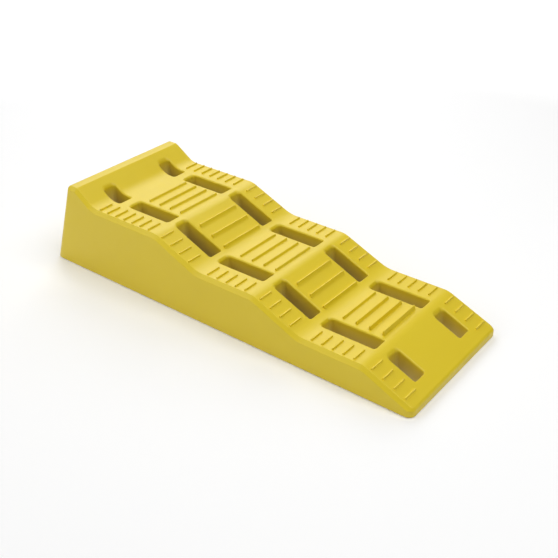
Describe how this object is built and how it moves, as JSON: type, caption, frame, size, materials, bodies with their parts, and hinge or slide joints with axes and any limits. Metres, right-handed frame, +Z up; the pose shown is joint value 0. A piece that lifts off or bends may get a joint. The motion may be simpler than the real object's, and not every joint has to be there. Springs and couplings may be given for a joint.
{
  "type": "vehicle levelling ramp",
  "caption": "Stepped plastic wheel ramp with flat levels joined by slopes, a raised end stop, grip teeth and through slots, standing on rubber feet.",
  "frame": {"origin": "middle of the footprint, on the ground that the rubber feet stand on", "axes": "+X towards the low end where the wheel drives on, +Y to the left seen from the end stop looking down the ramp, +Z up"},
  "size_m": [0.592, 0.209, 0.123],
  "materials": {
    "shell_plastic": "satin moulded high-density polyethylene, yellow all through",
    "foot_rubber": "matt black rubber"
  },
  "bodies": {
    "root": {"ramp_shell": "shell_plastic", "foot_nose_right": "foot_rubber", "foot_nose_left": "foot_rubber", "foot_level_1_right": "foot_rubber", "foot_level_1_left": "foot_rubber", "foot_level_2_right": "foot_rubber", "foot_level_2_left": "foot_rubber", "foot_level_3_right": "foot_rubber", "foot_level_3_left": "foot_rubber", "foot_end_right": "foot_rubber", "foot_end_left": "foot_rubber"}
  },
  "joints": []
}
